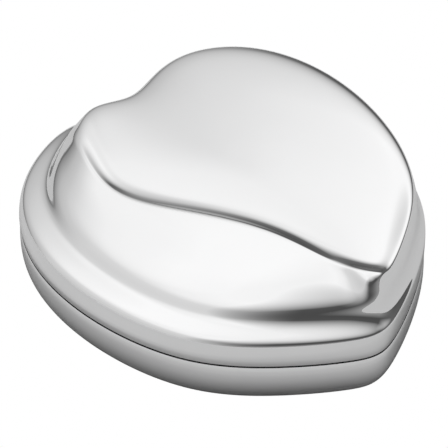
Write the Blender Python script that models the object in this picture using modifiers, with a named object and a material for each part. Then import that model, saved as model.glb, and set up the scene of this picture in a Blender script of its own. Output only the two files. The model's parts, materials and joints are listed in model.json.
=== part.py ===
"""Heart-shaped trinket box: a polished metal tray under a hinged, domed lid.

Metres, +Z up. The box stands on its felt pad at z = 0. The heart's point looks
along -Y, and the hinge sits in the cleft at +Y.
"""

import bmesh
import bpy
import numpy as np
from mathutils import Matrix, Vector

MM = 0.001

# Heart outline: overall sizes of the metal, and the right half's cage, which is
# stretched to them. The cage runs from the cleft round the lobe to the point.
WIDTH = 90.0 * MM
LENGTH = 103.0 * MM
OUTLINE_CAGE = (
    (0.000, 0.396),
    (0.096, 0.453),
    (0.242, 0.421),
    (0.397, 0.336),
    (0.500, 0.168),
    (0.511, -0.064),
    (0.418, -0.320),
    (0.229, -0.463),
    (0.066, -0.548),
    (0.000, -0.565),
)

# Heights, from the felt pad up
FELT_STAND = 0.4 * MM
BASE_HEIGHT = 13.6 * MM
SEAM_GAP = 0.5 * MM
LID_HEIGHT = 20.4 * MM

# Metal shells. The share is how much of the rolled foot's corner the velvet keeps clear of.
WALL = 1.5 * MM
BULGE = 0.3 * MM
BASE_CORNER = 7.6 * MM
BASE_CORNER_SHARE = 0.62
RECESS_INSET = 11.8 * MM
RECESS_DEPTH = 0.8 * MM

# The lid's hollow step, from its rim in to the foot of the dome, on each side
STEP_LEFT = 7.6 * MM
STEP_RIGHT = 1.4 * MM
STEP_FRONT = 3.2 * MM
STEP_BACK = 4.2 * MM

# How far the rim's top edge rolls inwards, on each side
ROLL_LEFT = 2.6 * MM
ROLL_RIGHT = 0.3 * MM
ROLL_FRONT = 0.25 * MM
ROLL_BACK = 0.6 * MM

# The height of the dome's foot above the lid's lower edge, on each side
FOOT_LEFT = 7.9 * MM
FOOT_RIGHT = 10.4 * MM
FOOT_FRONT = 10.0 * MM
FOOT_BACK = 8.6 * MM

# The height of the dome's shoulder above the lid's lower edge, on each side
SHOULDER_LEFT = 14.6 * MM
SHOULDER_RIGHT = 19.2 * MM
SHOULDER_FRONT = 17.2 * MM
SHOULDER_BACK = 18.4 * MM

# The rim's height above the lid's lower edge, the height at which the step starts,
# and how sharp the rim's edge is
RIM_HEIGHT = 6.6 * MM
STEP_HEIGHT = 6.95 * MM
RIM_EDGE = 0.4 * MM

# How far in the top of the dome's steep flank lies from its foot, on each side
FLANK_LEFT = 2.0 * MM
FLANK_RIGHT = 0.8 * MM
FLANK_FRONT = 0.8 * MM
FLANK_BACK = 1.0 * MM

# How far in the dome's shoulder lies from the top of that flank, on each side
RUN_LEFT = 14.0 * MM
RUN_RIGHT = 1.2 * MM
RUN_FRONT = 4.0 * MM
RUN_BACK = 2.4 * MM

# The S-shaped fold across the top: the far side of it is a shallow dish
FOLD_DEPTH = 2.4 * MM
FOLD_WIDTH = 3.4 * MM
FOLD_EDGE = 0.45 * MM
FOLD_ROOT = 2.2 * MM
DISH_REACH = 55.0 * MM
DISH_HEADING = 0.37
FOLD_CAGE = (
    (-14.0, 46.5),
    (-18.3, 39.0),
    (-21.8, 29.5),
    (-23.8, 19.1),
    (-21.2, 8.7),
    (-16.2, -0.9),
    (-10.8, -10.1),
    (-5.8, -19.8),
    (-2.6, -30.4),
    (0.2, -41.0),
    (5.0, -47.2),
    (11.0, -47.0),
    (17.0, -42.0),
)

# Fits: metal on metal, and round the soft pieces
SLIP = 0.3 * MM
SOFT_GAP = 0.4 * MM

# Locating collar inside the rim
COLLAR_THICKNESS = 0.9 * MM
COLLAR_DROP = 4.5 * MM
COLLAR_RISE = 2.0 * MM

# Soft pieces
VELVET = 0.8 * MM
VELVET_RISE = 0.8 * MM
FLOOR_CUSHION = 1.6 * MM
LID_CUSHION = 1.8 * MM
LID_CUSHION_INSET = 4.4 * MM
LID_CUSHION_RISE = 7.3 * MM
FELT = 0.9 * MM

# Hinge
BARREL_RADIUS = 1.4 * MM
BARREL_CLEARANCE = 0.5 * MM
PIN_RADIUS = 0.6 * MM
PIN_CLEARANCE = 0.1 * MM
HINGE_WIDTH = 10.0 * MM
MIDDLE_KNUCKLE = 3.6 * MM
LEAF = 0.7 * MM
BASE_LEAF_DROP = 5.6 * MM
LID_LEAF_RISE = 3.0 * MM
BARREL_SIDES = 24

SHARP_ANGLE = 0.6

# Mesh density: steps along each span of a cage, around and up
STEPS_AROUND = 3
STEPS_UP = 2
FOLD_STEPS = 16

SEAM_Z = FELT_STAND + BASE_HEIGHT
LID_Z = SEAM_Z + SEAM_GAP


def smooth_step(value):
    """0 below 0, 1 above 1, with an even slope at both ends."""
    t = np.clip(value, 0.0, 1.0)
    return t * t * t * (t * (6.0 * t - 15.0) + 10.0)


def soft_ramp(value, radius):
    """Nothing below zero and the value itself above it, with the corner between rounded."""
    bend = np.clip(value + radius, 0.0, 2.0 * radius)
    return bend**2 / (4.0 * radius) + np.maximum(value - radius, 0.0)


def spline_weights(steps):
    """Cubic B-spline weights of four neighbours, at each step along one span."""
    t = np.arange(steps) / steps
    rows = ((1 - t) ** 3, 3 * t**3 - 6 * t**2 + 4, -3 * t**3 + 3 * t**2 + 3 * t + 1, t**3)
    return np.stack(rows, axis=1) / 6.0


def closed_spline(cage, steps):
    """Points on the closed B-spline through a cage of points."""
    count = len(cage)
    neighbours = (np.arange(count)[:, None] + np.arange(4) - 1) % count
    points = np.einsum("sk,nk...->ns...", spline_weights(steps), cage[neighbours])
    return points.reshape(count * steps, *cage.shape[1:])


def open_spline(cage, steps, before=None, after=None):
    """Points on the open B-spline from the first cage point to the last."""
    before = 2 * cage[0] - cage[1] if before is None else before
    after = 2 * cage[-1] - cage[-2] if after is None else after
    padded = np.concatenate([before[None], cage, after[None]])
    spans = len(cage) - 1
    neighbours = np.arange(spans)[:, None] + np.arange(4)
    points = np.einsum("sk,nk...->ns...", spline_weights(steps), padded[neighbours])
    points = points.reshape(spans * steps, *cage.shape[1:])
    return np.concatenate([points, cage[-1:]])


def heart_cage():
    """The outline's whole cage, clockwise from the cleft, centred on the box."""
    right = np.array(OUTLINE_CAGE)
    cage = np.concatenate([right, right[-2:0:-1] * (-1, 1)])
    curve = closed_spline(cage, 32)
    low = curve.min(axis=0)
    size = curve.max(axis=0) - low
    cage = (cage - low) / size * (WIDTH, LENGTH) - (WIDTH / 2, LENGTH / 2)
    return cage - (0, (BARREL_CLEARANCE + BARREL_RADIUS) / 2)


def inward_normals(cage):
    """The unit normal at each cage point, towards the inside."""
    along = np.roll(cage, -1, axis=0) - np.roll(cage, 1, axis=0)
    along /= np.linalg.norm(along, axis=1, keepdims=True)
    return np.stack([along[:, 1], -along[:, 0]], axis=1)


CAGE = heart_cage()
INWARD = inward_normals(CAGE)


def four_sides(left, right, front, back):
    """A size at each cage point, blended between its values on the four sides."""
    across, ahead = -INWARD.T
    even = (left + right) / 2 * across**2 + (front + back) / 2 * ahead**2
    return even - (left - right) / 2 * across - (front - back) / 2 * ahead


def step_widths():
    return four_sides(STEP_LEFT, STEP_RIGHT, STEP_FRONT, STEP_BACK)


def rim_rolls():
    return four_sides(ROLL_LEFT, ROLL_RIGHT, ROLL_FRONT, ROLL_BACK)


def foot_heights():
    return four_sides(FOOT_LEFT, FOOT_RIGHT, FOOT_FRONT, FOOT_BACK)


def flank_runs():
    return four_sides(FLANK_LEFT, FLANK_RIGHT, FLANK_FRONT, FLANK_BACK)


def shoulder_runs():
    return four_sides(RUN_LEFT, RUN_RIGHT, RUN_FRONT, RUN_BACK)


def shoulder_heights():
    return four_sides(SHOULDER_LEFT, SHOULDER_RIGHT, SHOULDER_FRONT, SHOULDER_BACK)


def inset_cage(inset):
    """The outline's cage moved inwards, by one distance or by one for each point."""
    return CAGE + INWARD * np.reshape(inset, (-1, 1))


def outline(inset):
    """The heart outline, moved inwards, as points in order."""
    return closed_spline(inset_cage(inset), STEPS_AROUND)


REAR_Y = closed_spline(CAGE, 32)[:, 1].max()
CLEFT_Y = closed_spline(CAGE, 1)[0, 1]
HINGE_Y = REAR_Y + BARREL_CLEARANCE
HINGE_Z = SEAM_Z + SEAM_GAP / 2
TAB_IN = SEAM_GAP / 2
TAB_OUT = TAB_IN + LEAF
LEAF_Y = CLEFT_Y - BULGE - WALL - SLIP
COLLAR_INSET = BULGE + WALL + SLIP
VELVET_INSET = COLLAR_INSET + COLLAR_THICKNESS + SOFT_GAP
CUSHION_INSET = WALL + BASE_CORNER_SHARE * BASE_CORNER


def lid_side_rows():
    """Rows up to the lid's shoulder: inset, height and share of the climb."""
    steps = step_widths()
    rolls = rim_rolls()
    feet = foot_heights()
    climbs = shoulder_heights() - feet
    rows = [
        (BULGE, 0.0, 0.0),
        (0.4 * BULGE, 0.15 * RIM_HEIGHT, 0.0),
        (0.0, 0.5 * (RIM_HEIGHT - rolls), 0.0),
        (0.1 * rolls, RIM_HEIGHT - rolls - RIM_EDGE, 0.0),
        (0.3 * rolls + 0.25 * RIM_EDGE, RIM_HEIGHT - 0.25 * rolls, 0.0),
        (0.2 * (steps + rolls), STEP_HEIGHT, 0.0),
        (0.6 * steps + 0.2 * rolls + BULGE, 0.64 * STEP_HEIGHT + 0.36 * feet + 0.12 * rolls, 0.0),
        (steps + BULGE, feet, 0.0),
    ]
    flank_tops = steps + flank_runs()
    for run_share, climb_share in ((0.00, 0.34), (0.30, 0.57), (0.62, 0.80), (1.00, 1.00)):
        inset = flank_tops + run_share * shoulder_runs()
        rows.append((inset, feet + climb_share * climbs, climb_share))
    return rows


def lid_crown_rows():
    """Rows over the lid's crown: share of the shoulder's size, share of the climb, roundings."""
    return ((0.84, 0.36, 1), (0.62, 0.66, 3), (0.36, 0.90, 6), (0.14, 1.0, 6))


def rounded_ring(ring, times):
    """The ring with its tip and its cleft softened."""
    for _ in range(times):
        ring = (np.roll(ring, 1, axis=0) + 2 * ring + np.roll(ring, -1, axis=0)) / 4
    return ring


def lid_surface():
    """The lid's outer surface: rows of x, y, z and the share of the climb, up to its middle."""
    rows = []
    for inset, height, climb_share in lid_side_rows():
        heights = LID_Z + np.broadcast_to(height, len(CAGE))
        rows.append(np.column_stack([inset_cage(inset), heights, np.full(len(CAGE), climb_share)]))
    shoulder = rows[-1]
    middle = shoulder.mean(axis=0)
    middle[2] = LID_Z + LID_HEIGHT
    for size_share, climb_share, times in lid_crown_rows():
        ring = rounded_ring(shoulder, times)
        row = middle + (ring - middle) * size_share
        row[:, 2] = ring[:, 2] + (middle[2] - ring[:, 2]) * climb_share
        rows.append(row)
    rows.append(np.broadcast_to(middle, shoulder.shape))
    mirrored = 2 * middle - rows[-2]
    mirrored[:, 2] = rows[-2][:, 2]
    net = np.array(rows)
    surface = open_spline(net, STEPS_UP, after=mirrored)
    return closed_spline(surface.transpose(1, 0, 2), STEPS_AROUND).transpose(1, 0, 2)


def beside_fold(points):
    """How far each x, y point lies to the dish's side of the fold's line."""
    line = open_spline(np.array(FOLD_CAGE) * MM, FOLD_STEPS)
    along = np.gradient(line, axis=0)
    along /= np.linalg.norm(along, axis=1, keepdims=True)
    offsets = points[..., None, :] - line
    nearest = np.linalg.norm(offsets, axis=-1).argmin(axis=-1)
    offset = np.take_along_axis(offsets, nearest[..., None, None], axis=-2)[..., 0, :]
    direction = along[nearest]
    return direction[..., 0] * offset[..., 1] - direction[..., 1] * offset[..., 0]


def fold_drop(points):
    """How far the fold lowers each x, y point: a slope at its line, then a dish that rises again."""
    heading = np.array((np.cos(DISH_HEADING), np.sin(DISH_HEADING)))
    away = (points - np.mean(FOLD_CAGE, axis=0) * MM) @ heading
    beside = beside_fold(points)
    slope = soft_ramp(beside, FOLD_EDGE) - soft_ramp(beside - FOLD_WIDTH, FOLD_ROOT)
    return FOLD_DEPTH * slope / FOLD_WIDTH * (1.0 - smooth_step(away / DISH_REACH))


def base_surface():
    """The tray's outer surface, from the middle of its underside up to the seam."""
    foot_z = FELT_STAND
    recess_z = foot_z + RECESS_DEPTH
    rows = (
        (RECESS_INSET + BULGE, recess_z),
        (RECESS_INSET, recess_z),
        (RECESS_INSET - 2 * BULGE, foot_z),
        (RECESS_INSET - 3 * BULGE, foot_z),
        (0.5 * (RECESS_INSET + BASE_CORNER), foot_z),
        (BASE_CORNER, foot_z),
        (0.35 * BASE_CORNER, foot_z + 0.25 * BASE_CORNER),
        (0.5 * BULGE, foot_z + 0.8 * BASE_CORNER),
        (0.0, foot_z + 0.5 * (BASE_HEIGHT + BASE_CORNER)),
        (0.3 * BULGE, foot_z + BASE_HEIGHT - 0.1 * BASE_CORNER),
        (BULGE, foot_z + BASE_HEIGHT),
    )
    rings = []
    for inset, height in rows:
        ring = inset_cage(inset)
        rings.append(np.column_stack([ring, np.full(len(ring), height)]))
    middle = rings[0].mean(axis=0)
    surface = open_spline(np.array(rings), STEPS_UP)
    surface = closed_spline(surface.transpose(1, 0, 2), STEPS_AROUND).transpose(1, 0, 2)
    return np.concatenate([np.broadcast_to(middle, surface[:1].shape), surface])


def material(name, color, roughness, metallic):
    made = bpy.data.materials.new(name)
    made.use_nodes = True
    shader = made.node_tree.nodes["Principled BSDF"]
    shader.inputs["Base Color"].default_value = (*color, 1.0)
    shader.inputs["Roughness"].default_value = roughness
    shader.inputs["Metallic"].default_value = metallic
    return made


def add_object(name, data, finish=None, smooth=True):
    """Put the data in the scene as an object of the box."""
    made = bpy.data.objects.new(name, data)
    bpy.data.collections["heart_trinket_box"].objects.link(made)
    if finish:
        data.materials.append(finish)
    if smooth:
        data.shade_smooth()
        data.set_sharp_from_angle(angle=SHARP_ANGLE)
    return made


def surface_mesh(name, rows, pole_first):
    """A mesh of closed rows of points, with the row of one repeated point as its pole."""
    if pole_first:
        pole, rings = rows[0, 0], rows[1:]
    else:
        pole, rings = rows[-1, 0], rows[:-1]
    height, around = rings.shape[:2]
    corner = np.arange(height * around).reshape(height, around)
    beside = np.roll(corner, -1, axis=1)
    quads = np.stack([corner[:-1], corner[1:], beside[1:], beside[:-1]], axis=-1)
    faces = quads.reshape(-1, 4).tolist()
    apex = height * around
    if pole_first:
        faces += [(apex, a, b) for a, b in zip(corner[0].tolist(), beside[0].tolist())]
    else:
        faces += [(apex, b, a) for a, b in zip(corner[-1].tolist(), beside[-1].tolist())]
    mesh = bpy.data.meshes.new(name)
    mesh.from_pydata(np.vstack([rings.reshape(-1, 3), pole]).tolist(), [], faces)
    return mesh


def thicken(shell):
    wall = shell.modifiers.new("wall", "SOLIDIFY")
    wall.thickness = WALL
    wall.offset = -1.0
    wall.use_even_offset = True


def box_between(low, high):
    """The matrix that takes a unit cube to the box between two corners."""
    low, high = Vector(low), Vector(high)
    return Matrix.Translation((low + high) / 2) @ Matrix.Diagonal((*(high - low), 1.0))


def box_mesh(name, low, high):
    mesh = bpy.data.meshes.new(name)
    shape = bmesh.new()
    bmesh.ops.create_cube(shape, size=1.0, matrix=box_between(low, high))
    shape.to_mesh(mesh)
    shape.free()
    return mesh


def rod_mesh(name, radius, left, right):
    """A rod along X on the hinge's axis."""
    mesh = bpy.data.meshes.new(name)
    shape = bmesh.new()
    place = Matrix.Translation(((left + right) / 2, HINGE_Y, HINGE_Z)) @ Matrix.Rotation(np.pi / 2, 4, "Y")
    bmesh.ops.create_cone(
        shape,
        cap_ends=True,
        segments=BARREL_SIDES,
        radius1=radius,
        radius2=radius,
        depth=right - left,
        matrix=place,
    )
    shape.to_mesh(mesh)
    shape.free()
    return mesh


def tool(mesh):
    """An object that only shapes another one."""
    made = bpy.data.objects.new(mesh.name, mesh)
    bpy.data.collections["shaping_tools"].objects.link(made)
    made.hide_render = True
    made.display_type = "WIRE"
    return made


def combine(target, mesh, operation):
    boolean = target.modifiers.new(mesh.name, "BOOLEAN")
    boolean.operation = operation
    boolean.object = tool(mesh)


def heart_plate(name, loops, bottom, top, finish):
    """A flat piece between two heights, whose edges are one or two closed outlines."""
    curve = bpy.data.curves.new(name, "CURVE")
    curve.dimensions = "2D"
    curve.fill_mode = "BOTH"
    curve.extrude = (top - bottom) / 2
    for loop in loops:
        spline = curve.splines.new("POLY")
        spline.points.add(len(loop) - 1)
        spline.points.foreach_set("co", np.pad(loop, ((0, 0), (0, 2))).ravel())
        spline.use_cyclic_u = True
    guide = tool(curve)
    guide.location.z = (bottom + top) / 2
    bpy.context.view_layer.update()
    evaluated = guide.evaluated_get(bpy.context.evaluated_depsgraph_get())
    mesh = bpy.data.meshes.new_from_object(evaluated)
    mesh.transform(guide.matrix_world)
    bpy.data.objects.remove(guide)
    shape = bmesh.new()
    shape.from_mesh(mesh)
    bmesh.ops.remove_doubles(shape, verts=shape.verts, dist=0.001 * MM)
    shape.to_mesh(mesh)
    shape.free()
    return add_object(name, mesh, finish, smooth=False)


def build_base_shell(finish):
    """The tray: a polished bowl with a rolled foot, a recess under it and a hinge slot."""
    mesh = surface_mesh("base_shell", base_surface(), pole_first=True)
    shell = add_object("base_shell", mesh, finish)
    thicken(shell)
    low = (-HINGE_WIDTH / 2 - SLIP, LEAF_Y - LEAF, HINGE_Z - TAB_OUT - SLIP)
    high = (HINGE_WIDTH / 2 + SLIP, HINGE_Y, SEAM_Z + SEAM_GAP)
    combine(shell, box_mesh("base_hinge_slot", low, high), "DIFFERENCE")
    return shell


def build_lid_shell(finish):
    """The lid: a hollow step round a dome, folded across the top by an S-shaped line."""
    surface = lid_surface()
    points = surface[..., :3].copy()
    points[..., 2] -= surface[..., 3] * fold_drop(surface[..., :2])
    shell = add_object("lid_shell", surface_mesh("lid_shell", points, pole_first=False), finish)
    thicken(shell)
    low = (-HINGE_WIDTH / 2 - SLIP, LEAF_Y - LEAF, SEAM_Z)
    high = (HINGE_WIDTH / 2 + SLIP, HINGE_Y, HINGE_Z + TAB_OUT + SLIP)
    combine(shell, box_mesh("lid_hinge_slot", low, high), "DIFFERENCE")
    return shell


def open_at_hinge(band, bottom, top):
    """Open a closed band at the back, to clear the hinge leaves."""
    half = HINGE_WIDTH / 2 + SOFT_GAP
    low = (-half, 0.0, bottom - SLIP)
    high = (half, HINGE_Y, top + SLIP)
    combine(band, box_mesh(band.name + "_opening", low, high), "DIFFERENCE")


def build_collar(finish):
    """The collar that keeps the lid in line, open at the back for the hinge leaves."""
    loops = (outline(COLLAR_INSET), outline(COLLAR_INSET + COLLAR_THICKNESS))
    collar = heart_plate("locating_collar", loops, SEAM_Z - COLLAR_DROP, SEAM_Z + COLLAR_RISE, finish)
    open_at_hinge(collar, SEAM_Z - COLLAR_DROP, SEAM_Z + COLLAR_RISE)


def build_soft_pieces(velvet, felt):
    """The velvet wall band and cushions, and the felt pad that the box stands on."""
    band = (outline(VELVET_INSET), outline(VELVET_INSET + VELVET))
    low = FELT_STAND + BASE_CORNER_SHARE * BASE_CORNER
    lining = heart_plate("wall_lining", band, low, SEAM_Z + VELVET_RISE, velvet)
    open_at_hinge(lining, low, SEAM_Z + VELVET_RISE)
    floor = FELT_STAND + WALL + RECESS_DEPTH + SOFT_GAP
    heart_plate("floor_cushion", (outline(CUSHION_INSET),), floor, floor + FLOOR_CUSHION, velvet)
    ceiling = LID_Z + LID_CUSHION_RISE
    around = outline(step_widths() + LID_CUSHION_INSET)
    cushion = heart_plate("lid_cushion", (around,), ceiling, ceiling + LID_CUSHION, velvet)
    heart_plate("felt_pad", (outline(RECESS_INSET + SOFT_GAP),), 0.0, FELT, felt)
    return cushion


def build_leaf(name, knuckles, toward_lid, reach, finish):
    """A hinge leaf: a plate inside the wall, a tab over its edge to each knuckle."""
    side = 1 if toward_lid else -1
    near = HINGE_Z + side * TAB_IN
    far = HINGE_Z + side * reach
    low = (-HINGE_WIDTH / 2, LEAF_Y - LEAF, min(near, far))
    high = (HINGE_WIDTH / 2, LEAF_Y, max(near, far))
    leaf = add_object(name, box_mesh(name, low, high), finish, smooth=False)
    outer = HINGE_Z + side * TAB_OUT
    for number, (left, right) in enumerate(knuckles, 1):
        low = (left, LEAF_Y - LEAF / 2, min(near, outer))
        high = (right, HINGE_Y, max(near, outer))
        combine(leaf, box_mesh(f"{name}_tab_{number}", low, high), "UNION")
        combine(leaf, rod_mesh(f"{name}_knuckle_{number}", BARREL_RADIUS, left, right), "UNION")
    bore = rod_mesh(f"{name}_bore", PIN_RADIUS + PIN_CLEARANCE, -HINGE_WIDTH, HINGE_WIDTH)
    combine(leaf, bore, "DIFFERENCE")
    return leaf


def clear_scene():
    for old in list(bpy.data.objects):
        bpy.data.objects.remove(old, do_unlink=True)
    for name in ("heart_trinket_box", "shaping_tools"):
        bpy.context.scene.collection.children.link(bpy.data.collections.new(name))


def main():
    clear_scene()
    polished = material("polished_metal", (0.86, 0.86, 0.87), 0.05, 1.0)
    steel = material("satin_steel", (0.62, 0.62, 0.63), 0.3, 1.0)
    velvet = material("charcoal_velvet", (0.03, 0.03, 0.035), 0.95, 0.0)
    felt = material("black_felt", (0.02, 0.02, 0.02), 1.0, 0.0)
    build_base_shell(polished)
    build_collar(steel)
    lid_cushion = build_soft_pieces(velvet, felt)
    half, inner = HINGE_WIDTH / 2, MIDDLE_KNUCKLE / 2
    outer_knuckles = ((-half, -inner - SLIP), (inner + SLIP, half))
    build_leaf("base_hinge_leaf", outer_knuckles, False, BASE_LEAF_DROP, steel)
    lid_leaf = build_leaf("lid_hinge_leaf", ((-inner, inner),), True, LID_LEAF_RISE, steel)
    add_object("hinge_pin", rod_mesh("hinge_pin", PIN_RADIUS, -half, half), steel)
    pivot = bpy.data.objects.new("lid_pivot", None)
    pivot.location = (0.0, HINGE_Y, HINGE_Z)
    bpy.data.collections["heart_trinket_box"].objects.link(pivot)
    for piece in (build_lid_shell(polished), lid_leaf, lid_cushion):
        piece.parent = pivot
        piece.location = -pivot.location


main()
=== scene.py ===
"""A polished heart-shaped trinket box: shells, velvet linings, satin hinge and a studio stage."""

import json
import math

import bpy
import numpy as np
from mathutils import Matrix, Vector


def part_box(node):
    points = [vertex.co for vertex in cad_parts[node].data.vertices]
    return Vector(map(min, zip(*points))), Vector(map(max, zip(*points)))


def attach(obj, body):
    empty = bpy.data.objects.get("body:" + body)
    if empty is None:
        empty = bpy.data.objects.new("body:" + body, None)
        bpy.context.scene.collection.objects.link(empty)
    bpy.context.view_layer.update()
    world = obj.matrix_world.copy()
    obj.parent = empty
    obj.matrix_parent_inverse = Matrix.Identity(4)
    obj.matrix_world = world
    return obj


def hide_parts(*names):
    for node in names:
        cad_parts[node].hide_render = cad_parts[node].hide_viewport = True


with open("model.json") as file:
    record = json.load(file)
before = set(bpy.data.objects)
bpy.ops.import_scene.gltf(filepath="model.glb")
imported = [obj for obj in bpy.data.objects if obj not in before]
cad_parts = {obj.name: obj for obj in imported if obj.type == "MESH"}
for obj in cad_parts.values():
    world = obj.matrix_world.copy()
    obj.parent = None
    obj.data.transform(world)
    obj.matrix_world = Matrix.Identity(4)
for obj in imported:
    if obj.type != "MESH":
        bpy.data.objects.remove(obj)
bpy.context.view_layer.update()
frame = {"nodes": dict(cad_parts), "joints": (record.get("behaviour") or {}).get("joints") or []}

bl_info = {
    "name": "Heart trinket box",
    "version": (1, 0, 0),
    "blender": (4, 5, 0),
    "location": "View3D > Sidebar > Trinket Box",
    "description": "Builds the shells, linings and stage of a heart-shaped trinket box",
    "category": "Add Mesh",
}

MM = 0.001
BASE_FOOT = float(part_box("base_shell")[0][2])
SEAM = float(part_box("base_shell")[1][2])
LID_EDGE = float(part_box("lid_shell")[0][2])
HINGE_AXIS = Vector(frame["joints"][0]["pos_m"])

# Points closer than this are one point
CLOSE = 1e-6

WHITE = (1.0, 1.0, 1.0, 1.0)

# Sockets of a mix node, for numbers and for colours
NUMBER_A, NUMBER_B = 2, 3
COLOUR_A, COLOUR_B, COLOUR_RESULT = 6, 7, 2

# Steps along each span of a control cage, for measuring the outline and for the fold's line
OUTLINE_STEPS = 64
FOLD_STEPS = 16

# The lid's crown: share of the shoulder's size, share of the climb, roundings
CROWN_ROWS = ((0.84, 0.36, 1), (0.62, 0.66, 3), (0.36, 0.90, 6), (0.14, 1.0, 6))

# The lid from the flank's top to the shoulder: share of the run, share of the climb
SHOULDER_ROWS = ((0.00, 0.34), (0.30, 0.57), (0.62, 0.80), (1.00, 1.00))

# Room left round the hinge leaves: by the shells, and by the bands
SLOT_MARGIN = 0.3 * MM
SLOT_HEIGHT = 1.8 * MM
OPENING_MARGIN = 0.4 * MM

# Rounding of the edges of the collar, the wall lining and the felt pad
COLLAR_ROUNDING = 0.2 * MM
LINING_ROUNDING = 0.35 * MM
FELT_ROUNDING = 0.25 * MM

# Share of the tray's rolled corner that the floor cushion stays clear of
CORNER_SHARE = 0.62

# The lid cushion's edge lies this far inside the lid's hollow step
LID_CUSHION_INSET = 4.4 * MM

# Room between the underside's recess and the felt pad
FELT_GAP = 0.4 * MM

# Cushions: the edge's inset in millimetres and height in quarters of the thickness, from the back
# round to the face, then the rings that close the face
PAD_EDGE = (
    (12.0, 0),
    (5.0, 0),
    (0.9, 0),
    (0.25, 1),
    (0.0, 2),
    (0.25, 3),
    (0.9, 4),
    (2.2, 4),
    (4.0, 4),
    (7.0, 4),
    (11.0, 4),
)
PAD_RINGS = (0.86, 0.72, 0.58, 0.44, 0.3, 0.16)
CLOTH_PRESSURE = 4.0
CLOTH_FRAMES = 20
GLUED_WITHIN = 0.1 * MM


def length(name, text, default_mm):
    return bpy.props.FloatProperty(
        name=name, description=text, default=default_mm * MM, unit="LENGTH", precision=5
    )


def four_lengths(name, text, left, right, front, back):
    """A size on the left, right, front and back of the heart."""
    return bpy.props.FloatVectorProperty(
        name=name,
        description=text + ": left, right, front, back",
        size=4,
        default=(left * MM, right * MM, front * MM, back * MM),
        unit="LENGTH",
        precision=5,
    )


def colour(name, text, default):
    return bpy.props.FloatVectorProperty(
        name=name, description=text, default=default, size=3, min=0.0, max=1.0, subtype="COLOR"
    )


# Right half of the outline's control cage, from the cleft to the point, in box widths
OUTLINE_CAGE = (
    (0.000, 0.396),
    (0.096, 0.453),
    (0.242, 0.421),
    (0.397, 0.336),
    (0.500, 0.168),
    (0.511, -0.064),
    (0.418, -0.320),
    (0.229, -0.463),
    (0.066, -0.548),
    (0.000, -0.565),
)

# Control points of the S-shaped fold across the lid, in millimetres
FOLD_CAGE = (
    (-14.0, 46.5),
    (-18.3, 39.0),
    (-21.8, 29.5),
    (-23.8, 19.1),
    (-21.2, 8.7),
    (-16.2, -0.9),
    (-10.8, -10.1),
    (-5.8, -19.8),
    (-2.6, -30.4),
    (0.2, -41.0),
    (5.0, -47.2),
    (11.0, -47.0),
    (17.0, -42.0),
)


def nested(kind, name, text):
    return bpy.props.PointerProperty(type=kind, name=name, description=text)


class HeartShape(bpy.types.PropertyGroup):
    width: length("Width", "Across the lobes", 90.0)
    length: length("Length", "From the point to the lobes", 103.0)
    setback: length("Set-back", "How far the heart sits forward of the middle", 0.95)
    wall: length("Wall", "Thickness of the metal", 1.5)
    bulge: length("Bulge", "How far the sides swell between their edges", 0.3)


class LidShape(bpy.types.PropertyGroup):
    rim_height: length("Rim", "Height of the lid's rim", 6.6)
    rim_edge: length("Rim edge", "Sharpness of the rim's top edge", 0.4)
    step_height: length("Step height", "Height at which the hollow step starts", 6.95)
    height: length("Height", "Height of the lid's middle above its edge", 20.4)
    step: four_lengths("Step", "Width of the hollow step", 7.6, 1.4, 3.2, 4.2)
    roll: four_lengths("Roll", "How far the rim's top edge rolls inwards", 2.6, 0.3, 0.25, 0.6)
    foot: four_lengths("Foot", "Height of the dome's foot", 7.9, 10.4, 10.0, 8.6)
    flank: four_lengths("Flank", "Run of the dome's steep flank", 2.0, 0.8, 0.8, 1.0)
    run: four_lengths("Run", "Run from the flank to the shoulder", 14.0, 1.2, 4.0, 2.4)
    shoulder: four_lengths("Shoulder", "Height of the shoulder", 14.6, 19.2, 17.2, 18.4)
    fold_depth: length("Fold depth", "How far the fold lowers the far side", 2.4)
    fold_width: length("Fold width", "Width of the fold's slope", 3.4)
    fold_edge: length("Fold edge", "Rounding at the top of the fold", 0.45)
    fold_root: length("Fold root", "Rounding at the bottom of the fold", 2.2)
    dish_reach: length("Dish reach", "How far the dish takes to rise again", 55.0)
    dish_heading: bpy.props.FloatProperty(
        name="Dish heading",
        description="The way in which the dish rises",
        default=0.37,
        subtype="ANGLE",
    )


class BaseShape(bpy.types.PropertyGroup):
    corner: length("Corner", "Radius of the rolled foot", 7.6)
    recess_inset: length("Recess inset", "How far in the underside's recess starts", 11.8)
    recess_depth: length("Recess depth", "Depth of the underside's recess", 0.8)


class LiningShape(bpy.types.PropertyGroup):
    collar_inset: length("Collar inset", "Inset of the collar's outer face", 2.1)
    collar: length("Collar", "Thickness of the collar", 0.9)
    lining_inset: length("Lining inset", "Inset of the wall lining's outer face", 3.4)
    lining: length("Lining", "Thickness of the wall lining", 0.8)
    puff: length("Puff", "How far the cushions may swell", 0.5)


class FinishColours(bpy.types.PropertyGroup):
    metal: colour("Polished metal", "Colour of the polished shells", (0.955, 0.955, 0.958))
    steel: colour("Satin steel", "Colour of the hinge", (0.62, 0.62, 0.63))
    # The collar's near-black colour is painted shade: it makes the seam between lid and tray read
    # as a dark shadow line
    dark_steel: colour("Seam shadow steel", "Colour of the collar", (0.05, 0.05, 0.052))
    velvet: colour("Velvet", "Colour of the velvet", (0.022, 0.022, 0.026))
    felt: colour("Felt", "Colour of the felt pad", (0.02, 0.02, 0.021))


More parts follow.
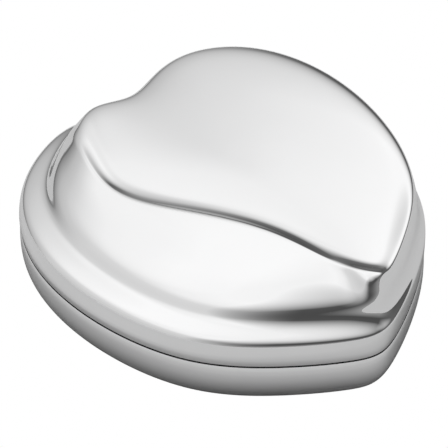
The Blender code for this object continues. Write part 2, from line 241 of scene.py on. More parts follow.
class StageSettings(bpy.types.PropertyGroup):
    azimuth: bpy.props.FloatProperty(
        name="Azimuth",
        description="Camera's turn about the box",
        default=math.radians(-39.0),
        subtype="ANGLE",
    )
    elevation: bpy.props.FloatProperty(
        name="Elevation",
        description="Camera's height angle",
        default=math.radians(41.6),
        subtype="ANGLE",
    )
    distance: length("Distance", "Camera's distance", 738.0)
    lens: bpy.props.FloatProperty(
        name="Lens", description="Focal length", default=249.7, unit="CAMERA"
    )
    aim: bpy.props.FloatVectorProperty(
        name="Aim",
        description="The point that the camera faces",
        size=3,
        default=(0.0, 0.0, 0.0102),
        unit="LENGTH",
    )
    shift: bpy.props.FloatVectorProperty(
        name="Shift",
        description="Lens shift across and up, in frame widths",
        size=2,
        default=(-0.0246, 0.0536),
    )
    floor: colour("Floor", "Colour of the pale floor", (0.88, 0.88, 0.88))


class BoxSettings(bpy.types.PropertyGroup):
    heart: nested(HeartShape, "Heart", "Outline and wall")
    lid: nested(LidShape, "Lid", "Lid shape")
    base: nested(BaseShape, "Base", "Tray shape")
    linings: nested(LiningShape, "Linings", "Collar and linings")
    colours: nested(FinishColours, "Colours", "Finishes")
    stage: nested(StageSettings, "Stage", "Camera and floor")


def settings():
    return bpy.context.scene.trinket_box


# Curves and surfaces


def spline_weights(steps):
    """Weights of four neighbouring control points at each step along a span."""
    t = np.arange(steps)[:, None] / steps
    weights = ((1 - t) ** 3, 3 * t**3 - 6 * t**2 + 4, -3 * t**3 + 3 * t**2 + 3 * t + 1, t**3)
    return np.concatenate(weights, axis=1) / 6.0


def closed_spline(cage, steps):
    """Points of the closed cubic spline over the cage's first axis, first point repeated last."""
    near = np.stack([np.roll(cage, 1 - k, axis=0) for k in range(4)], axis=1)
    curve = np.einsum("sk,nk...->ns...", spline_weights(steps), near)
    curve = curve.reshape(-1, *cage.shape[1:])
    return np.concatenate([curve, curve[:1]])


def open_spline(cage, steps, before=None, after=None):
    """Points of the open cubic spline from the cage's first point to its last."""
    first = 2 * cage[0] - cage[1] if before is None else before
    last = 2 * cage[-1] - cage[-2] if after is None else after
    cage = np.concatenate([first[None], cage, last[None]])
    near = np.stack([cage[k : len(cage) - 3 + k] for k in range(4)], axis=1)
    curve = np.einsum("sk,nk...->ns...", spline_weights(steps), near)
    end = (near[-1, 1] + 4 * near[-1, 2] + near[-1, 3]) / 6.0
    return np.concatenate([curve.reshape(-1, *cage.shape[1:]), end[None]])


def heart_cage():
    """The closed control cage of the outline, stretched to the box's width and length."""
    heart = settings().heart
    right = np.array(OUTLINE_CAGE)
    left = right[-2:0:-1] * (-1.0, 1.0)
    cage = np.vstack([right, left])
    curve = closed_spline(cage, OUTLINE_STEPS)
    stretch = np.array((heart.width, heart.length)) / np.ptp(curve, axis=0)
    middle = (curve.max(axis=0) + curve.min(axis=0)) / 2
    return (cage - middle) * stretch - (0.0, heart.setback)


def inward_normals(cage):
    along = np.roll(cage, -1, axis=0) - np.roll(cage, 1, axis=0)
    along /= np.linalg.norm(along, axis=1, keepdims=True)
    return np.column_stack([along[:, 1], -along[:, 0]])


def inset_cage(distance):
    cage = heart_cage()
    distance = np.broadcast_to(distance, len(cage))
    return cage + inward_normals(cage) * distance[:, None]


def four_sides(sizes):
    """A size at each cage point, blended between left, right, front and back."""
    left, right, front, back = sizes
    across, ahead = -inward_normals(heart_cage()).T
    even = (left + right) / 2 * across**2 + (front + back) / 2 * ahead**2
    return even - (left - right) / 2 * across - (front - back) / 2 * ahead


def smooth_step(value):
    t = np.clip(value, 0.0, 1.0)
    return t * t * t * (t * (6.0 * t - 15.0) + 10.0)


def soft_ramp(value, radius):
    """Nothing below zero and the value itself above it, with the corner between rounded."""
    bend = np.clip(value + radius, 0.0, 2.0 * radius)
    return bend**2 / (4.0 * radius) + np.maximum(value - radius, 0.0)


def beside_fold(points, line):
    """How far each x, y point lies to the dish's side of the fold's line."""
    along = np.gradient(line, axis=0)
    along /= np.linalg.norm(along, axis=1, keepdims=True)
    offsets = points[..., None, :] - line
    nearest = np.linalg.norm(offsets, axis=-1).argmin(axis=-1)
    offset = np.take_along_axis(offsets, nearest[..., None, None], axis=-2)[..., 0, :]
    direction = along[nearest]
    return direction[..., 0] * offset[..., 1] - direction[..., 1] * offset[..., 0]


def fold_drop(points):
    """How far the fold lowers each x, y point: a slope, then a dish that rises again."""
    lid = settings().lid
    line = open_spline(np.array(FOLD_CAGE) * MM, FOLD_STEPS)
    beside = np.array([beside_fold(row, line) for row in points])
    heading = np.array((math.cos(lid.dish_heading), math.sin(lid.dish_heading)))
    away = (points - np.mean(FOLD_CAGE, axis=0) * MM) @ heading
    slope = soft_ramp(beside, lid.fold_edge) - soft_ramp(beside - lid.fold_width, lid.fold_root)
    return lid.fold_depth * slope / lid.fold_width * (1.0 - smooth_step(away / lid.dish_reach))


def lid_side_rows():
    """Rows up to the lid's shoulder: inset, height and share of the climb."""
    lid, bulge = settings().lid, settings().heart.bulge
    rim, edge, start = lid.rim_height, lid.rim_edge, lid.step_height
    steps, rolls, feet = four_sides(lid.step), four_sides(lid.roll), four_sides(lid.foot)
    flank_tops, runs = steps + four_sides(lid.flank), four_sides(lid.run)
    climbs = four_sides(lid.shoulder) - feet
    rows = [
        (bulge, 0.0, 0.0),
        (0.4 * bulge, 0.15 * rim, 0.0),
        (0.0, 0.5 * (rim - rolls), 0.0),
        (0.1 * rolls, rim - rolls - edge, 0.0),
        (0.3 * rolls + 0.25 * edge, rim - 0.25 * rolls, 0.0),
        (0.2 * (steps + rolls), start, 0.0),
        (0.6 * steps + 0.2 * rolls + bulge, 0.64 * start + 0.36 * feet + 0.12 * rolls, 0.0),
        (steps + bulge, feet, 0.0),
    ]
    for run, climb in SHOULDER_ROWS:
        rows.append((flank_tops + run * runs, feet + climb * climbs, climb))
    return rows


def rounded_ring(ring, times):
    for _ in range(times):
        ring = (np.roll(ring, 1, axis=0) + 2 * ring + np.roll(ring, -1, axis=0)) / 4
    return ring


def lid_points(around, up):
    """The lid's outer surface, in rows from its edge to its middle."""
    lid = settings().lid
    rows = []
    for inset, height, climb in lid_side_rows():
        ring = inset_cage(inset)
        heights = LID_EDGE + np.broadcast_to(height, len(ring))
        rows.append(np.column_stack([ring, heights, np.full(len(ring), climb)]))
    shoulder = rows[-1]
    middle = shoulder.mean(axis=0)
    middle[2] = LID_EDGE + lid.height
    for size, climb, times in CROWN_ROWS:
        ring = rounded_ring(shoulder, times)
        row = middle + (ring - middle) * size
        row[:, 2] = ring[:, 2] + (middle[2] - ring[:, 2]) * climb
        rows.append(row)
    rows.append(np.broadcast_to(middle, shoulder.shape))
    mirrored = 2 * middle - rows[-2]
    mirrored[:, 2] = rows[-2][:, 2]
    surface = around_spline(open_spline(np.array(rows), up, after=mirrored), around)
    points = surface[..., :3].copy()
    points[..., 2] -= surface[..., 3] * fold_drop(surface[..., :2])
    return points


def base_points(around, up):
    """The tray's outer surface, in rows from the middle of its underside to the seam."""
    base, heart = settings().base, settings().heart
    bulge, height = heart.bulge, SEAM - BASE_FOOT
    inset, corner, recess = base.recess_inset, base.corner, BASE_FOOT + base.recess_depth
    rows = (
        (inset + bulge, recess),
        (inset, recess),
        (inset - 2 * bulge, BASE_FOOT),
        (inset - 3 * bulge, BASE_FOOT),
        (0.5 * (inset + corner), BASE_FOOT),
        (corner, BASE_FOOT),
        (0.35 * corner, BASE_FOOT + 0.25 * corner),
        (0.5 * bulge, BASE_FOOT + 0.8 * corner),
        (0.0, BASE_FOOT + 0.5 * (height + corner)),
        (0.3 * bulge, BASE_FOOT + height - 0.1 * corner),
        (bulge, BASE_FOOT + height),
    )
    surface = around_spline(open_spline(cage_rings(rows), up), around)
    return np.concatenate([middle_row(surface[0]), surface])


def cage_rings(section):
    """The outline's cage at each inset and height of a section."""
    rings = [np.pad(inset_cage(i), ((0, 0), (0, 1)), constant_values=z) for i, z in section]
    return np.array(rings)


def around_spline(rings, around):
    """The rings made smooth along their own length."""
    return closed_spline(rings.transpose(1, 0, 2), around).transpose(1, 0, 2)


def middle_row(ring):
    """A row that repeats the middle of a closed ring."""
    return np.broadcast_to(ring[:-1].mean(axis=0), ring[None].shape)


def rounded_section(near, far, low, high, radius, steps=4):
    """Insets and heights round a rectangle with rounded corners, closed."""
    left, right = near + radius, far - radius
    bottom, top = low + radius, high - radius
    section = []
    for inset, height, start in (
        (right, bottom, -90),
        (right, top, 0),
        (left, top, 90),
        (left, bottom, 180),
    ):
        for angle in np.radians(np.linspace(start, start + 90, steps)):
            section.append((inset + radius * math.cos(angle), height + radius * math.sin(angle)))
    return section + section[:1]


# Modelling


def select_only(*objects):
    if bpy.context.object and bpy.context.object.mode != "OBJECT":
        bpy.ops.object.mode_set(mode="OBJECT")
    bpy.ops.object.select_all(action="DESELECT")
    for obj in objects:
        obj.select_set(True)
    bpy.context.view_layer.objects.active = objects[-1] if objects else None


def in_edit_mode(obj, *steps):
    """Run each edit step with the whole mesh selected."""
    select_only(obj)
    bpy.ops.object.mode_set(mode="EDIT")
    bpy.ops.mesh.select_mode(type="VERT")
    bpy.ops.mesh.select_all(action="SELECT")
    for step in steps:
        step()
    bpy.ops.object.mode_set(mode="OBJECT")


def surface_from_grid(name, points):
    """A grid whose corners are placed on rows of points, with its seams and poles merged."""
    rows, columns = points.shape[:2]
    select_only()
    bpy.ops.mesh.primitive_grid_add(x_subdivisions=columns - 1, y_subdivisions=rows - 1, size=1.0)
    obj = bpy.context.object
    obj.name = obj.data.name = name
    if len(obj.data.vertices) != rows * columns:
        raise RuntimeError(f"{name}: the grid doesn't have {rows * columns} points")
    obj.data.vertices.foreach_set("co", points.reshape(-1, 3).ravel())
    obj.data.update()
    in_edit_mode(
        obj,
        lambda: bpy.ops.mesh.remove_doubles(threshold=CLOSE),
        lambda: bpy.ops.mesh.normals_make_consistent(inside=False),
    )
    return obj


def apply_modifier(obj, kind, **values):
    modifier = obj.modifiers.new(kind.lower(), kind)
    for key, value in values.items():
        setattr(modifier, key, value)
    select_only(obj)
    bpy.ops.object.modifier_apply(modifier=modifier.name)


def cut_box(obj, low, high):
    """Cut away what lies between two corners."""
    low, high = Vector(low), Vector(high)
    select_only()
    bpy.ops.mesh.primitive_cube_add(size=1.0, location=(low + high) / 2)
    cutter = bpy.context.object
    cutter.scale = high - low
    bpy.ops.object.transform_apply(location=True, rotation=True, scale=True)
    apply_modifier(obj, "BOOLEAN", operation="DIFFERENCE", solver="EXACT", object=cutter)
    bpy.data.objects.remove(cutter, do_unlink=True)


def smooth(obj, degrees=30.0):
    select_only(obj)
    bpy.ops.object.shade_smooth_by_angle(angle=math.radians(degrees))


def finish_piece(obj, material, body, slot, *nodes):
    obj.data.materials.clear()
    obj.data.materials.append(material)
    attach(obj, body)
    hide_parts(*nodes)


def hinge_gap(node, margin):
    """The span across a hinge leaf at the back, with a margin either side."""
    low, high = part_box(node)
    return low[0] - margin, high[0] + margin


def thicken_and_slot(shell, leaf, bottom, top):
    """Give a shell its wall, and a slot between two heights for a hinge leaf."""
    wall = settings().heart.wall
    apply_modifier(shell, "SOLIDIFY", thickness=wall, offset=-1.0, use_even_offset=True)
    left, right = hinge_gap(leaf, SLOT_MARGIN)
    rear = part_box(leaf)[0][1] - SLOT_MARGIN
    cut_box(shell, (left, rear, bottom), (right, HINGE_AXIS.y, top))
    smooth(shell)


# Finishes


def new_material(name):
    material = bpy.data.materials.new(name)
    material.use_nodes = True
    return material, material.node_tree, material.node_tree.nodes["Principled BSDF"]


def add_node(tree, kind, inputs=None, **values):
    node = tree.nodes.new(kind)
    for key, value in values.items():
        setattr(node, key, value)
    for key, value in (inputs or {}).items():
        if isinstance(value, bpy.types.NodeSocket):
            tree.links.new(value, node.inputs[key])
        else:
            node.inputs[key].default_value = value
    return node


def grain_group():
    """Two scales of grain on a stretched pattern: a broad patch mask and a fine line mask."""
    name = "surface_grain"
    if name in bpy.data.node_groups:
        return bpy.data.node_groups[name]
    tree = bpy.data.node_groups.new(name, "ShaderNodeTree")
    for label, kind in (
        ("Vector", "NodeSocketVector"),
        ("Patch Scale", "NodeSocketFloat"),
        ("Line Scale", "NodeSocketFloat"),
    ):
        tree.interface.new_socket(label, in_out="INPUT", socket_type=kind)
    for label in ("Patches", "Lines"):
        tree.interface.new_socket(label, in_out="OUTPUT", socket_type="NodeSocketFloat")
    given = tree.nodes.new("NodeGroupInput")
    out = tree.nodes.new("NodeGroupOutput")
    patch = add_node(
        tree,
        "ShaderNodeTexNoise",
        {"Vector": given.outputs["Vector"], "Scale": given.outputs["Patch Scale"], "Detail": 4.0},
    )
    stretch = add_node(
        tree,
        "ShaderNodeMapping",
        {"Vector": given.outputs["Vector"], "Scale": (1.0, 0.06, 1.0)},
    )
    lines = add_node(
        tree,
        "ShaderNodeTexNoise",
        {"Vector": stretch.outputs["Vector"], "Scale": given.outputs["Line Scale"], "Detail": 3.0},
    )
    tree.links.new(patch.outputs["Fac"], out.inputs["Patches"])
    tree.links.new(lines.outputs["Fac"], out.inputs["Lines"])
    return tree


def grain(tree, patch_scale, line_scale, turn):
    place = add_node(tree, "ShaderNodeTexCoord")
    turned = add_node(
        tree, "ShaderNodeMapping", {"Vector": place.outputs["Object"], "Rotation": (0.0, 0.0, turn)}
    )
    group = add_node(tree, "ShaderNodeGroup", node_tree=grain_group())
    tree.links.new(turned.outputs["Vector"], group.inputs["Vector"])
    group.inputs["Patch Scale"].default_value = patch_scale
    group.inputs["Line Scale"].default_value = line_scale
    return group


def spread(tree, value, low, high, bottom, top):
    """The value's range low to high, mapped to bottom to top."""
    node = add_node(
        tree,
        "ShaderNodeMapRange",
        {"Value": value, "From Min": low, "From Max": high, "To Min": bottom, "To Max": top},
    )
    return node.outputs["Result"]


def tint(tree, value, dark, light):
    """A colour between two for a value from 0 to 1."""
    node = add_node(tree, "ShaderNodeMix", {"Factor": value}, data_type="RGBA")
    node.inputs[COLOUR_A].default_value = (*dark, 1.0)
    node.inputs[COLOUR_B].default_value = (*light, 1.0)
    return node.outputs[COLOUR_RESULT]


def bump(tree, height, strength, distance):
    node = add_node(
        tree, "ShaderNodeBump", {"Height": height, "Strength": strength, "Distance": distance}
    )
    return node.outputs["Normal"]


def make_finish(name, base, scales, turn, shades, rough, relief, others, pile_scale=None):
    """A procedural finish with grain.

    Scales are those of the patches and of the lines. Shades and rough each name what drives them,
    its range, and the lowest and highest share of the colour, or roughness. Relief names what
    drives it, its strength and its depth. Others are further settings of the shader, by name.
    """
    if name in bpy.data.materials:
        return bpy.data.materials[name]
    material, tree, shader = new_material(name)
    drives = dict(grain(tree, *scales, turn).outputs.items())
    if pile_scale:
        place = add_node(tree, "ShaderNodeTexCoord")
        pile = {"Vector": place.outputs["Object"], "Scale": pile_scale, "Detail": 2.0}
        drives["Pile"] = add_node(tree, "ShaderNodeTexNoise", pile).outputs["Fac"]
    source, low, high, dark, light = shades
    dark, light = ([c * share for c in base] for share in (dark, light))
    mixed = tint(tree, spread(tree, drives[source], low, high, 0.0, 1.0), dark, light)
    tree.links.new(mixed, shader.inputs["Base Color"])
    source, *limits = rough
    tree.links.new(spread(tree, drives[source], *limits), shader.inputs["Roughness"])
    source, strength, depth = relief
    tree.links.new(bump(tree, drives[source], strength, depth), shader.inputs["Normal"])
    for key, value in others.items():
        shader.inputs[key].default_value = value
    return material


def polished_metal():
    """Mirror polish with faint polishing lines and soft handling marks."""
    return make_finish(
        "polished_metal_mirror",
        settings().colours.metal,
        scales=(45.0, 900.0),
        turn=math.radians(35.0),
        shades=("Patches", 0.35, 0.65, 0.985, 1.0),
        rough=("Patches", 0.4, 0.7, 0.022, 0.05),
        relief=("Lines", 0.03, 0.02 * MM),
        others={"Metallic": 1.0},
    )


def satin_steel(name, base):
    """Brushed steel of a colour."""
    return make_finish(
        name,
        base,
        scales=(120.0, 2600.0),
        turn=math.radians(90.0),
        shades=("Lines", 0.3, 0.7, 0.86, 1.0),
        rough=("Lines", 0.3, 0.7, 0.22, 0.38),
        relief=("Lines", 0.25, 0.05 * MM),
        others={"Metallic": 1.0},
    )


def velvet():
    """Short-pile velvet: crushed patches, a fine nap and a soft sheen."""
    return make_finish(
        "charcoal_velvet_nap",
        settings().colours.velvet,
        scales=(90.0, 5200.0),
        turn=math.radians(20.0),
        shades=("Patches", 0.35, 0.65, 0.6, 1.7),
        rough=("Pile", 0.3, 0.7, 0.75, 1.0),
        relief=("Pile", 0.6, 0.12 * MM),
        others={"Sheen Weight": 0.7, "Sheen Roughness": 0.35, "Specular IOR Level": 0.15},
        pile_scale=4200.0,
    )


def felt():
    """Pressed black felt with loose fibres."""
    return make_finish(
        "black_felt_fibres",
        settings().colours.felt,
        scales=(260.0, 1800.0),
        turn=math.radians(50.0),
        shades=("Lines", 0.35, 0.65, 0.7, 1.9),
        rough=("Patches", 0.3, 0.7, 0.85, 1.0),
        relief=("Lines", 0.7, 0.15 * MM),
        others={"Sheen Weight": 0.25},
    )


# Pieces


class TRINKETBOX_OT_lid(bpy.types.Operator):
    """Build the lid: a hollow step round a dome, folded across by an S-shaped line"""

    bl_idname = "trinket_box.lid"
    bl_label = "Lid"

    def execute(self, context):
        lid = surface_from_grid("lid_polished", lid_points(around=15, up=11))
        thicken_and_slot(lid, "lid_hinge_leaf", SEAM, HINGE_AXIS.z + SLOT_HEIGHT)
        finish_piece(lid, polished_metal(), "lid", "polished_metal", "lid_shell")
        return {"FINISHED"}


class TRINKETBOX_OT_base(bpy.types.Operator):
    """Build the tray: a polished bowl with a rolled foot and a recess under it"""

    bl_idname = "trinket_box.base"
    bl_label = "Tray"

    def execute(self, context):
        base = surface_from_grid("base_polished", base_points(around=12, up=8))
        thicken_and_slot(base, "base_hinge_leaf", HINGE_AXIS.z - SLOT_HEIGHT, LID_EDGE)
        finish_piece(base, polished_metal(), "base", "polished_metal", "base_shell")
        return {"FINISHED"}


class TRINKETBOX_OT_bands(bpy.types.Operator):
    """Build the brushed locating collar, near-black as painted shade for the seam, and the velvet
    wall lining
    """

    bl_idname = "trinket_box.bands"
    bl_label = "Collar and wall lining"

    def execute(self, context):
        sizes = settings().linings
        # Near-black collar as painted seam shadow: rays that bounce into the seam gap end on it
        dark = satin_steel("seam_shadow_dark_steel_brushed", settings().colours.dark_steel)
        section = (sizes.collar_inset, sizes.collar, COLLAR_ROUNDING)
        collar = self.band("collar_satin", "locating_collar", *section)
        finish_piece(collar, dark, "base", "satin_steel", "locating_collar")
        section = (sizes.lining_inset, sizes.lining, LINING_ROUNDING)
        lining = self.band("wall_lining_velvet", "wall_lining", *section)
        finish_piece(lining, velvet(), "base", "charcoal_velvet", "wall_lining")
        return {"FINISHED"}

    def band(self, name, node, inset, thickness, radius):
        """A closed band between the heights of its node, opened at the back for the hinge."""
        low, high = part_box(node)
        section = rounded_section(inset, inset + thickness, low[2], high[2], radius)
        band = surface_from_grid(name, around_spline(cage_rings(section), around=12))
        left, right = hinge_gap("base_hinge_leaf", OPENING_MARGIN)
        cut_box(band, (left, 0.0, low[2] - MM), (right, HINGE_AXIS.y, high[2] + MM))
        smooth(band)
        return band


class TRINKETBOX_OT_cushions(bpy.types.Operator):
    """Build the velvet floor and lid cushions and let them swell"""

    bl_idname = "trinket_box.cushions"
    bl_label = "Cushions"

    def execute(self, context):
        floor_inset = settings().heart.wall + CORNER_SHARE * settings().base.corner
        floor = self.pad("floor_cushion_velvet", "floor_cushion", floor_inset, upward=True)
        finish_piece(floor, velvet(), "base", "charcoal_velvet", "floor_cushion")
        lid_inset = four_sides(settings().lid.step) + LID_CUSHION_INSET
        lid = self.pad("lid_cushion_velvet", "lid_cushion", lid_inset, upward=False)
        finish_piece(lid, velvet(), "lid", "charcoal_velvet", "lid_cushion")
        return {"FINISHED"}

    def pad(self, name, node, inset, upward):
        """A thin pad with a rolled edge and a closed face."""
        low, high = (corner[2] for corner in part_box(node))
        swell = settings().linings.puff
        face, back = (high - swell, low) if upward else (low + swell, high)
        half = 0.5 * (face + back)
        quarters = (back, 0.5 * (back + half), half, 0.5 * (face + half), face)
        section = [(inset + i * MM, quarters[number]) for i, number in PAD_EDGE]
        rings = open_spline(cage_rings(section), steps=3)
        middle = rings[0].mean(axis=0)
        rows = [np.broadcast_to(middle, rings[0].shape), *rings]
        for size in PAD_RINGS:
            row = middle + (rounded_ring(rings[-1], times=3) - middle) * size
            row[:, 2] = face
            rows.append(row)
        rows.append(np.broadcast_to((*middle[:2], face), rings[0].shape))
        pad = surface_from_grid(name, around_spline(np.array(rows), around=5))
        self.fill(pad, back, swell)
        apply_modifier(pad, "SUBSURF", levels=1, render_levels=1)
        smooth(pad, degrees=60.0)
        return pad

    def fill(self, pad, back, swell):
        """Let the pad swell under pressure with its back glued down, by no more than the swell."""
        rest = np.array([vertex.co for vertex in pad.data.vertices])
        glued = pad.vertex_groups.new(name="glued")
        at_back = np.flatnonzero(abs(rest[:, 2] - back) < GLUED_WITHIN)
        glued.add(at_back.tolist(), 1.0, "REPLACE")
        cloth = pad.modifiers.new("cloth", "CLOTH")
        cloth.settings.use_pressure = True
        cloth.settings.uniform_pressure_force = CLOTH_PRESSURE
        cloth.settings.effector_weights.gravity = 0.0
        cloth.settings.vertex_group_mass = "glued"
        cloth.point_cache.frame_end = CLOTH_FRAMES
        for number in range(1, CLOTH_FRAMES + 1):
            bpy.context.scene.frame_set(number)
        select_only(pad)
        bpy.ops.object.modifier_apply(modifier=cloth.name)
        moved = np.array([vertex.co for vertex in pad.data.vertices]) - rest
        if not np.isfinite(moved).all():
            raise RuntimeError(f"{pad.name}: the cloth gave no shape")
        size = np.linalg.norm(moved, axis=1, keepdims=True)
        moved *= np.minimum(1.0, swell / np.maximum(size, CLOSE))
        pad.data.vertices.foreach_set("co", (rest + moved).ravel())
        pad.data.update()
        bpy.context.scene.frame_set(1)


class TRINKETBOX_OT_felt_pad(bpy.types.Operator):
    """Build the felt pad that the box stands on"""

    bl_idname = "trinket_box.felt_pad"
    bl_label = "Felt pad"

    def execute(self, context):
        low, high = (corner[2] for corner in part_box("felt_pad"))
        inset = settings().base.recess_inset + FELT_GAP
        edge = FELT_ROUNDING
        section = (
            (inset + 2 * edge, low),
            (inset + edge, low),
            (inset, low + edge),
            (inset, high - edge),
            (inset + edge, high),
            (inset + 2 * edge, high),
        )
        rings = around_spline(cage_rings(section), around=8)
        rows = np.concatenate([middle_row(rings[0]), rings, middle_row(rings[-1])])
        pad = surface_from_grid("felt_pad_pressed", rows)
        smooth(pad)
        finish_piece(pad, felt(), "base", "black_felt", "felt_pad")
        return {"FINISHED"}


class TRINKETBOX_OT_hinge(bpy.types.Operator):
    """Give the hinge leaves and the pin their satin finish"""

    bl_idname = "trinket_box.hinge"
    bl_label = "Hinge"

    def execute(self, context):
        steel = satin_steel("satin_steel_brushed", settings().colours.steel)
        for name in ("base_hinge_leaf", "lid_hinge_leaf", "hinge_pin"):
            for slot in frame["nodes"][name].material_slots:
                slot.material = steel
        return {"FINISHED"}


# Stage


def ramp(tree, value, stops):
    """A smooth run of brightness over a value: pairs of value and brightness."""
    first, last = stops[0][0], stops[-1][0]
    node = add_node(tree, "ShaderNodeValToRGB", {"Fac": spread(tree, value, first, last, 0.0, 1.0)})
    elements = node.color_ramp.elements
    while len(elements) > 1:
        elements.remove(elements[-1])
    elements[0].position, elements[0].color = 0.0, (stops[0][1],) * 3 + (1.0,)
    for place, level in stops[1:]:
        element = elements.new((place - first) / (last - first))
        element.color = (level,) * 3 + (1.0,)
    return node.outputs["Color"]


def arithmetic(tree, operation, first, second=0.0):
    node = add_node(tree, "ShaderNodeMath", {0: first, 1: second}, operation=operation)
    return node.outputs["Value"]


def blended(tree, factor, first, second):
    node = add_node(tree, "ShaderNodeMix", {"Factor": factor, NUMBER_A: first, NUMBER_B: second})
    return node.outputs["Result"]


def along(tree, direction):
    """How far a ray's direction runs along another, from -1 to 1."""
    place = add_node(tree, "ShaderNodeTexCoord")
    node = add_node(
        tree,
        "ShaderNodeVectorMath",
        {0: place.outputs["Generated"], 1: direction},
        operation="DOT_PRODUCT",
    )
    return node.outputs["Value"]


# Brightness of the studio by elevation in degrees, behind the box, before it, and on either side
FAR_WALL = (
    (-90, 0.62), (-2, 0.62), (0, 0.3), (3, 0.12), (6, 0.25), (24, 0.5),
    (34, 0.58), (42, 0.7), (52, 0.92), (62, 1.0), (75, 1.0), (90, 0.92),
)
NEAR_WALL = (
    (-90, 0.45), (-2, 0.45), (0, 0.3), (20, 0.07), (40, 0.08),
    (47, 0.22), (58, 0.38), (68, 0.55), (82, 0.8), (90, 0.92),
)
LEFT_WALL = (
    (-90, 0.62), (-2, 0.62), (0, 0.6), (20, 0.64),
    (45, 0.72), (60, 0.9), (75, 0.97), (90, 0.92),
)
RIGHT_WALL = (
    (-90, 0.45), (-2, 0.45), (0, 0.08), (20, 0.12),
    (35, 0.8), (42, 1.0), (60, 1.0), (90, 0.92),
)

# How one wall gives way to the next, by how far a direction faces right or the near wall: left to
# right, far to the sides, and the sides to near
LEFT_TO_RIGHT = ((-1.0, 0.0), (-0.35, 0.0), (0.1, 1.0), (1.0, 1.0))
FAR_TO_SIDES = ((-1.0, 0.0), (-0.97, 0.0), (-0.7, 1.0), (1.0, 1.0))
SIDES_TO_NEAR = ((-1.0, 0.0), (0.3, 0.0), (0.85, 1.0), (1.0, 1.0))

# Turn of the near wall's middle from the camera to the right
SWING = math.radians(35.0)

# Least level share of a direction, so that straight up has something to divide by
LEAST_LEVEL = 1e-4

# Camera: width of its sensor in millimetres, and how far it sees in metres
SENSOR_WIDTH = 36.0
CLIP_END = 10.0

# The floor's rings, in outline sizes, and the painted contact shadow that darkens its colour, by
# metres from the box
FLOOR_RINGS = (0.0, 0.5, 0.8, 0.92, 1.0, 1.05, 1.1, 1.18, 1.3, 1.5, 1.8, 2.5, 5.0, 20.0, 60.0)
FLOOR_PAINTED_SHADOW = ((0.0, 0.38), (0.006, 0.6), (0.014, 0.9), (0.024, 1.0), (0.06, 1.0))


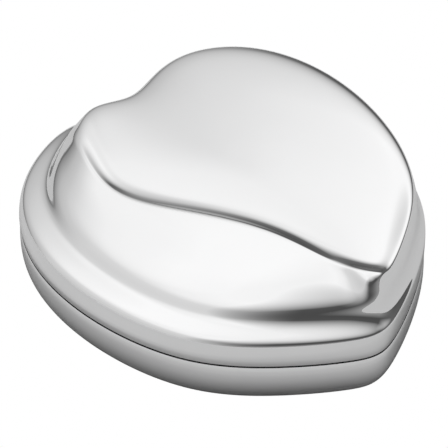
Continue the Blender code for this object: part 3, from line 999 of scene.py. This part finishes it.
class TRINKETBOX_OT_stage(bpy.types.Operator):
    """Set up the pale floor, the soft studio light and the camera"""

    bl_idname = "trinket_box.stage"
    bl_label = "Stage"

    def execute(self, context):
        stage = settings().stage
        turn, rise = stage.azimuth, stage.elevation
        ahead = Vector((-math.sin(turn), math.cos(turn), 0.0))
        right = Vector((math.cos(turn), math.sin(turn), 0.0))
        self.camera(stage, ahead, rise)
        self.studio(ahead, right)
        self.floor(stage)
        context.scene.view_settings.view_transform = "Standard"
        return {"FINISHED"}

    def camera(self, stage, ahead, rise):
        select_only()
        back = -ahead * math.cos(rise) + Vector((0.0, 0.0, math.sin(rise)))
        place = Vector(stage.aim) + back * stage.distance
        bpy.ops.object.camera_add(location=place, rotation=back.to_track_quat("Z", "Y").to_euler())
        camera = bpy.context.object
        camera.name = camera.data.name = "stage_camera"
        camera.data.sensor_width = SENSOR_WIDTH
        camera.data.lens = stage.lens
        camera.data.shift_x, camera.data.shift_y = stage.shift
        camera.data.clip_end = CLIP_END
        bpy.context.scene.camera = camera

    def studio(self, ahead, right):
        world = bpy.data.worlds.new("studio")
        world.use_nodes = True
        bpy.context.scene.world = world
        tree = world.node_tree
        tree.nodes.clear()
        upward = along(tree, (0.0, 0.0, 1.0))
        elevation = arithmetic(tree, "DEGREES", arithmetic(tree, "ARCSINE", upward))
        level = arithmetic(tree, "SUBTRACT", 1.0, arithmetic(tree, "MULTIPLY", upward, upward))
        level = arithmetic(tree, "SQRT", arithmetic(tree, "MAXIMUM", level, LEAST_LEVEL))
        toward = -ahead * math.cos(SWING) + right * math.sin(SWING)
        facing = arithmetic(tree, "DIVIDE", along(tree, toward), level)
        rightward = arithmetic(tree, "DIVIDE", along(tree, right), level)
        sides = blended(
            tree,
            ramp(tree, rightward, LEFT_TO_RIGHT),
            ramp(tree, elevation, LEFT_WALL),
            ramp(tree, elevation, RIGHT_WALL),
        )
        around = blended(
            tree,
            ramp(tree, facing, FAR_TO_SIDES),
            ramp(tree, elevation, FAR_WALL),
            sides,
        )
        light = blended(
            tree,
            ramp(tree, facing, SIDES_TO_NEAR),
            around,
            ramp(tree, elevation, NEAR_WALL),
        )
        lit = add_node(tree, "ShaderNodeBackground", {"Color": light, "Strength": 1.0})
        white = add_node(tree, "ShaderNodeBackground", {"Color": WHITE, "Strength": 1.0})
        path = add_node(tree, "ShaderNodeLightPath")
        mixed = add_node(
            tree,
            "ShaderNodeMixShader",
            {0: path.outputs["Is Camera Ray"], 1: lit.outputs[0], 2: white.outputs[0]},
        )
        add_node(tree, "ShaderNodeOutputWorld", {"Surface": mixed.outputs[0]})

    def floor(self, stage):
        outline = closed_spline(heart_cage(), steps=6)
        rings = [np.pad(outline * size, ((0, 0), (0, 1))) for size in FLOOR_RINGS]
        floor = surface_from_grid("studio_floor", np.array(rings))
        points = np.array([vertex.co for vertex in floor.data.vertices])[:, :2]
        gap = np.linalg.norm(points[:, None] - outline, axis=-1).min(axis=1)
        gap[np.linalg.norm(points, axis=1) < np.linalg.norm(outline, axis=1).min()] = 0.0
        floor.data.attributes.new("gap", "FLOAT", "POINT").data.foreach_set("value", gap)
        material = bpy.data.materials.new("pale_floor")
        material.use_nodes = True
        tree = material.node_tree
        tree.nodes.clear()
        # The floor's colour is darkened near the box: a painted contact shadow, seen only in
        # reflections, since camera rays see plain white
        near = add_node(tree, "ShaderNodeAttribute", attribute_name="gap")
        shade = ramp(tree, near.outputs["Fac"], FLOOR_PAINTED_SHADOW)
        factor = {"Factor": 1.0}
        pale = add_node(tree, "ShaderNodeMix", factor, data_type="RGBA", blend_type="MULTIPLY")
        tree.links.new(shade, pale.inputs[COLOUR_A])
        pale.inputs[COLOUR_B].default_value = (*stage.floor, 1.0)
        matt = add_node(tree, "ShaderNodeBsdfDiffuse", {"Color": pale.outputs[COLOUR_RESULT]})
        bright = add_node(tree, "ShaderNodeEmission", {"Color": WHITE, "Strength": 1.0})
        path = add_node(tree, "ShaderNodeLightPath")
        mixed = add_node(
            tree,
            "ShaderNodeMixShader",
            {0: path.outputs["Is Camera Ray"], 1: matt.outputs[0], 2: bright.outputs[0]},
        )
        add_node(tree, "ShaderNodeOutputMaterial", {"Surface": mixed.outputs[0]})
        floor.data.materials.append(material)


PIECES = (
    TRINKETBOX_OT_lid,
    TRINKETBOX_OT_base,
    TRINKETBOX_OT_bands,
    TRINKETBOX_OT_cushions,
    TRINKETBOX_OT_felt_pad,
    TRINKETBOX_OT_hinge,
    TRINKETBOX_OT_stage,
)


class TRINKETBOX_PT_tools(bpy.types.Panel):
    """Buttons and sizes of the trinket box"""

    bl_idname = "TRINKETBOX_PT_tools"
    bl_label = "Trinket Box"
    bl_space_type = "VIEW_3D"
    bl_region_type = "UI"
    bl_category = "Trinket Box"

    def draw(self, context):
        for piece in PIECES:
            self.layout.operator(piece.bl_idname)
        box = context.scene.trinket_box
        for group in (box.heart, box.lid, box.base, box.linings, box.colours, box.stage):
            column = self.layout.column(align=True)
            for name in group.__annotations__:
                column.prop(group, name)


GROUPS = (HeartShape, LidShape, BaseShape, LiningShape, FinishColours, StageSettings, BoxSettings)


def register():
    for group in GROUPS + PIECES + (TRINKETBOX_PT_tools,):
        bpy.utils.register_class(group)
    bpy.types.Scene.trinket_box = bpy.props.PointerProperty(type=BoxSettings)


def unregister():
    del bpy.types.Scene.trinket_box
    for group in reversed(GROUPS + PIECES + (TRINKETBOX_PT_tools,)):
        bpy.utils.unregister_class(group)


def main():
    register()
    bpy.ops.trinket_box.stage()
    bpy.ops.trinket_box.lid()
    bpy.ops.trinket_box.base()
    bpy.ops.trinket_box.bands()
    bpy.ops.trinket_box.cushions()
    bpy.ops.trinket_box.felt_pad()
    bpy.ops.trinket_box.hinge()
    select_only()


if __name__ == "__main__":
    main()
